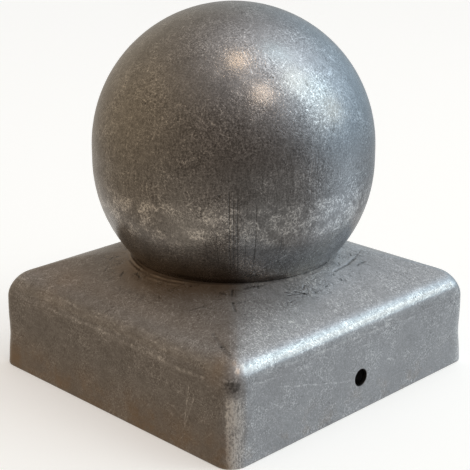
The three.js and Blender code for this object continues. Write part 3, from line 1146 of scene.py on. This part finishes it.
class CapCoat(Coat):
    """The zinc of the pressed cap, with the uneven fields that its marks share."""

    def __init__(self, name, wear):
        super().__init__(name, wear)
        graph, place = self.graph, self.place
        self.reach = self.across.beside(self.deep)
        self.side = abs(self.across).math("MAXIMUM", abs(self.deep))
        self.right = (self.across + self.deep).rise(*LIGHT_FACES)
        self.foot = self.reach.fall(*FOOT_SHADE) * self.height.rise(*ROOF)
        self.wander = graph.noise(place, 6.0, 2.0)
        self.patchy = graph.noise(place, 1.2, 3.0, 0.7).rise(0.46, 0.62)
        self.crumple = graph.noise(place, 1.7, 3.0, 0.6)

    def blotch(self):
        """Uneven blotches, and painted light and shade: two faces lighter and more even, two darker.
        """
        # Painted light on the two faces toward the window and painted shade on the other two.
        self.lay(self.right - 0.5, tone=0.16)
        blotch = self.graph.noise(self.place, 2.4, 4.0, 0.7) - 0.5
        self.lay(blotch * (0.34 - self.right * 0.18), tone=1.0)

    def wrinkle(self):
        """Wrinkles in the crease round the ball's foot, painted shade and light beside it, and painted
        glints.
        """
        graph, place = self.graph, self.place
        curled = graph.moved(place, (2.0, -2.0, 1.0), self.crumple)
        wrinkle = graph.scratches(curled, 2.1, 0.26, 2.2, 0.7)
        wrinkle = wrinkle + graph.noise(curled, 1.6, 2.0, 0.6).bell(0.5, 0.04) * 0.7
        wrinkle = wrinkle * graph.noise(place, 4.5, 2.0).rise(0.42, 0.58)
        wrinkle = wrinkle * self.reach.zone(*WRINKLED_RING) * self.height.rise(21.0, 23.5)
        self.lay(wrinkle, relief=-0.05, dirt=0.5)
        self.lay((self.foot + 0.25) * self.crumple, relief=0.07)
        # Painted shade round the ball's foot on the two faces away from the window, painted light on
        # the other two.
        shade = self.right * 0.34 - 0.2 - self.crumple.fall(0.34, 0.46) * 0.14
        self.lay(self.foot * shade, tone=1.0)
        # Painted glints: light scratches on the roof of the two faces away from the window.
        glints = graph.scratches(place, 1.3, 0.12, 1.0, 0.6) * self.height.rise(20.0, 22.0)
        self.lay(glints * (1.0 - self.right), tone=0.26)

    def scuff(self):
        """Light scuffs in long uneven streaks along the shoulders, with darker ones between."""
        lifted = self.graph.moved(self.place, (0.0, 0.0, 3.0), self.wander - 0.5)
        streak = self.graph.streaks(lifted, (0.17, 0.17, 1.9), 3.0, 0.65)
        shoulder = self.height.zone(*SHOULDER_SCUFFS) * self.side.rise(*SHOULDER_SIDES)
        self.lay(shoulder * streak.rise(0.52, 0.66) * (0.35 + self.patchy * 0.65), tone=0.26)
        self.lay(shoulder * streak.fall(0.36, 0.46), tone=-0.07)

    def rub_corners(self):
        """A narrow band down each upright corner, rubbed in rows of fine upright marks."""
        wobble = (self.wander + self.crumple - 1.0) * 1.2
        corner = (abs(self.across) - abs(self.deep) + wobble).zone(*CORNER_BAND)
        corner = corner * self.side.rise(*CORNER_SIDES) * self.height.fall(13.0, 16.0)
        fine = self.graph.streaks(self.place, (2.8, 2.8, 1.5), 3.0, 0.75) - 0.5
        row = self.graph.streaks(self.place, (2.0, 2.0, 0.12), 1.0) - 0.5
        self.lay(corner, tone=0.56, rough=0.10)
        self.lay(corner * fine, tone=2.6, relief=0.10)
        self.lay(corner * row, tone=0.9)

    def mark(self):
        """Bruises with an uneven edge, single light scratches, a painted highlight on the lip, and
        dark folds in the roof.

        A noise bends the scratches and the folds a little, and breaks them up.
        """
        graph = self.graph
        for centre, radius, share in CAP_BRUISES:
            spot = graph.distance(self.place, centre) + (self.patchy - 0.5) * 0.8
            self.lay(spot.fall(0.1 * radius, radius), dirt=share)
        warped = graph.moved(self.place, (0.0, 0.9, 0.9), self.wander - 0.5)
        for start, end, width, gain in LIGHT_MARKS_AND_LIP_HIGHLIGHT:
            line = graph.stroke(warped, start, end, width)
            self.lay(line * (0.3 + self.patchy * 0.7), tone=gain, relief=-0.008)
        roof = self.height.rise(20.5, 21.5)
        plan = graph.vector("MULTIPLY", warped, (1.0, 1.0, 0.0))
        for start, end, width, share in CAP_FOLDS:
            line = graph.stroke(plan, (*start, 0.0), (*end, 0.0), width)
            self.lay(line * (0.5 + self.patchy * 0.5) * roof, dirt=share, relief=-0.05)

    def soil(self, sizes):
        """Brown stains along the rim and in patches, painted warm reflection on two faces, painted
        shade in the bores.
        """
        cloudy = self.graph.noise(self.place, 4.5, 3.0, 0.65)
        clouds = cloudy.rise(0.4, 0.6)
        self.lay(self.height.fall(1.0, 9.0) * cloudy.rise(0.5, 0.7), stain=0.25)
        # Painted warm reflection of the floor, low on the -y face.
        front_rim = self.height.fall(0.0, 12.0) * self.deep.fall(-36.6, -35.5)
        self.lay(front_rim * (0.25 + clouds * 0.2), stain=1.0)
        # Painted warm reflection on the two faces away from the window, most on the roof and round the
        # ball's foot.
        brown = 0.10 + self.height.rise(20.0, 22.5) * 0.18 + self.foot * 0.5
        self.lay((1.0 - self.right) * brown, stain=1.0)
        for centre, width, share in BROWN_STAINS_AND_REFLECTION:
            spot = self.graph.distance(self.place, centre).fall(0.1 * width, width)
            self.lay(spot * (0.5 + clouds * 0.5), stain=share)
        # The bores' walls are painted black as shade.
        bore = sizes.screw_hole / 2 / MM
        from_bore = self.deep.beside(self.height - sizes.screw_height / MM)
        self.lay(from_bore.fall(bore, bore + 0.2), dirt=1.0)

    def polish(self):
        """The skin has gone matt, and the shoulders are rubbed back to polished metal with a painted
        highlight.
        """
        self.metal = 0.3
        self.lay(self.height.zone(*SHOULDER_MATT), metal=-0.14)
        rubbed = self.height.zone(*SHOULDER_POLISH_AND_HIGHLIGHT) * (0.4 + self.right * 0.6)
        self.lay(rubbed, metal=0.58)
        # Painted highlight: the polished band is lighter, most on the two faces toward the window.
        self.lay(rubbed * (0.14 + self.patchy * 0.10), tone=1.0)


def ball_zinc(finish):
    """Zinc of the drawn ball: a rubbed band below the middle, partly painted reflection, painted
    shade, draw lines and a few pits.
    """
    coat = BallCoat("ball_zinc", wear=1.0)
    coat.rub_and_paint_reflection()
    coat.paint_shade()
    coat.draw()
    return coat.finished(finish)


def cap_zinc(finish, sizes):
    """Zinc of the pressed cap: wrinkles, scuffed edges, scratches, stains, a dark bruise, and painted
    light, shade and reflection.
    """
    coat = CapCoat("cap_zinc", wear=0.85)
    coat.blotch()
    coat.wrinkle()
    coat.scuff()
    coat.rub_corners()
    coat.mark()
    coat.soil(sizes)
    coat.polish()
    coat.rough -= 0.02
    return coat.finished(finish)


class StageView(bpy.types.PropertyGroup):
    """The camera and the light."""

    azimuth: angle_property("Azimuth", "Turn of the camera from the front, towards +X", 45.19)
    elevation: angle_property("Elevation", "Height angle of the camera", 18.44)
    roll: angle_property("Roll", "Turn of the camera about its own axis", -0.25)
    distance: length_property("Distance", "From the camera to the middle of the view", 268.3)
    height: length_property("Middle", "Height of the point that the camera's distance starts at", 36.5)
    move_right: length_property("Right", "Sideways move of the camera", 0.25, lowest_mm=-50.0)
    move_up: length_property("Up", "Upward move of the camera", -6.68, lowest_mm=-50.0)
    lens: number_property("Lens", "Focal length of the camera", 95.19, lowest=1.0, unit="CAMERA")
    floor: colour_property("Floor", "Colour of the floor", (0.82, 0.82, 0.81))
    floor_glow: number_property(
        "Floor glow", "How much the floor is brightened from below, like a light table", 0.45
    )
    brightness: number_property("Brightness", "Strength of all the lamps and of the soft light", 1.0)


def towards(azimuth, elevation):
    """Unit vector at an angle round from +X and a height angle, both in radians."""
    flat = math.cos(elevation)
    return Vector((math.cos(azimuth) * flat, math.sin(azimuth) * flat, math.sin(elevation)))


def add_camera(view):
    """The camera at the photograph's viewing angle, from the fitted angles and moves."""
    back = towards(view.azimuth - QUARTER, view.elevation)
    right = Vector((math.cos(view.azimuth), math.sin(view.azimuth), 0.0))
    up = back.cross(right)
    cos, sin = math.cos(view.roll), math.sin(view.roll)
    turned_right = right * cos + up * sin
    turned_up = up * cos - right * sin
    place = Vector((0.0, 0.0, view.height)) + back * view.distance
    place += turned_right * view.move_right + turned_up * view.move_up
    data = bpy.data.cameras.new("photo_camera")
    data.sensor_width = SENSOR_WIDTH
    data.lens = view.lens
    data.clip_start = NEAR_CLIP
    camera = bpy.data.objects.new("photo_camera", data)
    camera.matrix_world = Matrix.Translation(place) @ Matrix(
        [[turned_right[i], turned_up[i], back[i]] for i in range(3)]
    ).to_4x4()
    bpy.context.scene.collection.objects.link(camera)
    bpy.context.scene.camera = camera


def add_lamp(name, azimuth, elevation, distance, size, power, colour, view):
    """A round soft lamp that faces the middle of the part."""
    data = bpy.data.lights.new(name, "AREA")
    data.shape = "DISK"
    data.size = size
    data.energy = power * view.brightness
    data.color = colour
    lamp = bpy.data.objects.new(name, data)
    direction = towards(math.radians(azimuth), math.radians(elevation))
    lamp.location = Vector((0.0, 0.0, view.height)) + direction * distance
    lamp.rotation_euler = direction.to_track_quat("Z", "Y").to_euler()
    lamp.visible_camera = False
    bpy.context.scene.collection.objects.link(lamp)


def add_soft_light(view):
    """Light from all round, which reads a direction and nothing else.

    light(direction) = base + sum of colour * exp(sharpness * (direction . towards - 1)), over the
    broad glows of the studio's walls.
    """
    world = bpy.data.worlds.new("studio_light")
    world.use_nodes = True
    graph = Graph(world.node_tree)
    direction = graph.add("ShaderNodeTexCoord", output="Generated")
    light = SOFT_BASE
    for azimuth, elevation, sharpness, colour in SOFT_GLOWS:
        facing = tuple(towards(math.radians(azimuth), math.radians(elevation)))
        near = graph.vector("DOT_PRODUCT", direction, facing, "Value")
        glow = graph.scaled(colour, ((near - 1.0) * sharpness).math("EXPONENT"))
        light = graph.vector("ADD", light, glow)
    background = graph.add(
        "ShaderNodeBackground", sockets={"Color": light, "Strength": view.brightness}
    )
    graph.add("ShaderNodeOutputWorld", sockets={"Surface": background})
    bpy.context.scene.world = world


def floor_paint(name, view, glow):
    """A matt pale paint with an even glow of its own."""
    material, graph = new_material(name)
    paint = {
        "Base Color": (*view.floor, 1.0),
        "Roughness": 0.9,
        "Specular IOR Level": 0.1,
        "Emission Color": (*view.floor, 1.0),
        "Emission Strength": glow,
    }
    shader = graph.add("ShaderNodeBsdfPrincipled", sockets=paint)
    graph.add("ShaderNodeOutputMaterial", sockets={"Surface": shader})
    return material


def add_floor(view):
    """A round pale floor that curves up into a low wall all round, and dark ground in the cap.

    The floor is a surface of turning: flat to FLOOR_FLAT, then a quarter arc of FLOOR_BEND. It
    shows to the camera alone: the metal is lit by the studio's soft light in its place. The ground
    under the hollow cap keeps the light out, as the post does.
    """
    radii = np.array([0.05, 0.2, 0.6, FLOOR_FLAT])
    flat = np.stack([radii, np.zeros_like(radii)], axis=1)
    bend = arc((FLOOR_FLAT, FLOOR_BEND), FLOOR_BEND, -QUARTER, 0.0, steps=16)[1:]
    grid = turned(np.concatenate([flat, bend]), FLOOR_COLUMNS)
    floor = add_turned("studio_floor", grid, poles=(0.0,))
    floor.visible_glossy = False
    floor.visible_diffuse = False
    floor.visible_shadow = False
    floor.data.materials.append(floor_paint("pale_floor", view, view.floor_glow))
    corners = np.array([[-1, -1, 0], [1, -1, 0], [1, 1, 0], [-1, 1, 0]]) * (CAP_HIGH.x - GROUND_GAP)
    quad = np.array([[0, 1, 2, 3]])
    middle_floor = add_mesh_object("ground_inside", corners + [0, 0, GROUND_LIFT], quad)
    middle_floor.data.materials.append(floor_paint("shaded_floor", view, 0.0))


class POSTCAP_OT_cap(bpy.types.Operator):
    """Build the pressed cap with its zinc finish"""

    bl_idname = "postcap.cap"
    bl_label = "Pressed Cap"

    def execute(self, context):
        scene = context.scene
        piece = build_cap(scene.cap_sizes, scene.ball_sizes)
        piece.data.materials.append(cap_zinc(scene.zinc_finish, scene.cap_sizes))
        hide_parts("cap")
        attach(piece, "root")
        return {"FINISHED"}


class POSTCAP_OT_ball(bpy.types.Operator):
    """Build the drawn ball with its zinc finish"""

    bl_idname = "postcap.ball"
    bl_label = "Drawn Ball"

    def execute(self, context):
        scene = context.scene
        piece = build_ball(scene.ball_sizes, scene.cap_sizes)
        piece.data.materials.append(ball_zinc(scene.zinc_finish))
        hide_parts("ball")
        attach(piece, "root")
        return {"FINISHED"}


class POSTCAP_OT_stage(bpy.types.Operator):
    """Set up the floor, the soft light and the camera"""

    bl_idname = "postcap.stage"
    bl_label = "Stage"

    def execute(self, context):
        view = context.scene.stage_view
        add_camera(view)
        add_floor(view)
        add_soft_light(view)
        for lamp in LAMPS:
            add_lamp(*lamp, view)
        context.scene.view_settings.view_transform = "Standard"
        return {"FINISHED"}


class POSTCAP_PT_panel(bpy.types.Panel):
    """Lists the pieces, their sizes and the finish"""

    bl_idname = "POSTCAP_PT_panel"
    bl_label = "Ball Post Cap"
    bl_space_type = "VIEW_3D"
    bl_region_type = "UI"
    bl_category = "Post Cap"

    def draw(self, context):
        layout = self.layout
        scene = context.scene
        for operator, group in PANEL_ROWS:
            box = layout.box()
            if operator:
                box.operator(operator)
            settings = getattr(scene, group)
            for name in settings.bl_rna.properties.keys():
                if name not in {"rna_type", "name"}:
                    box.prop(settings, name)


PANEL_ROWS = (
    ("postcap.cap", "cap_sizes"),
    ("postcap.ball", "ball_sizes"),
    (None, "zinc_finish"),
    ("postcap.stage", "stage_view"),
)
SETTINGS = {
    "cap_sizes": CapSizes,
    "ball_sizes": BallSizes,
    "zinc_finish": ZincFinish,
    "stage_view": StageView,
}
CLASSES = (
    *SETTINGS.values(), POSTCAP_OT_cap, POSTCAP_OT_ball, POSTCAP_OT_stage, POSTCAP_PT_panel,
)


def register():
    """Registers the classes and hangs their settings on the scene."""
    for kind in CLASSES:
        bpy.utils.register_class(kind)
    for name, group in SETTINGS.items():
        setattr(bpy.types.Scene, name, bpy.props.PointerProperty(type=group))


def unregister():
    """Takes the settings and the classes away again."""
    for name in SETTINGS:
        delattr(bpy.types.Scene, name)
    for kind in reversed(CLASSES):
        bpy.utils.unregister_class(kind)


def main():
    """Builds the whole scene."""
    register()
    bpy.ops.postcap.cap()
    bpy.ops.postcap.ball()
    bpy.ops.postcap.stage()


if __name__ == "__main__":
    main()
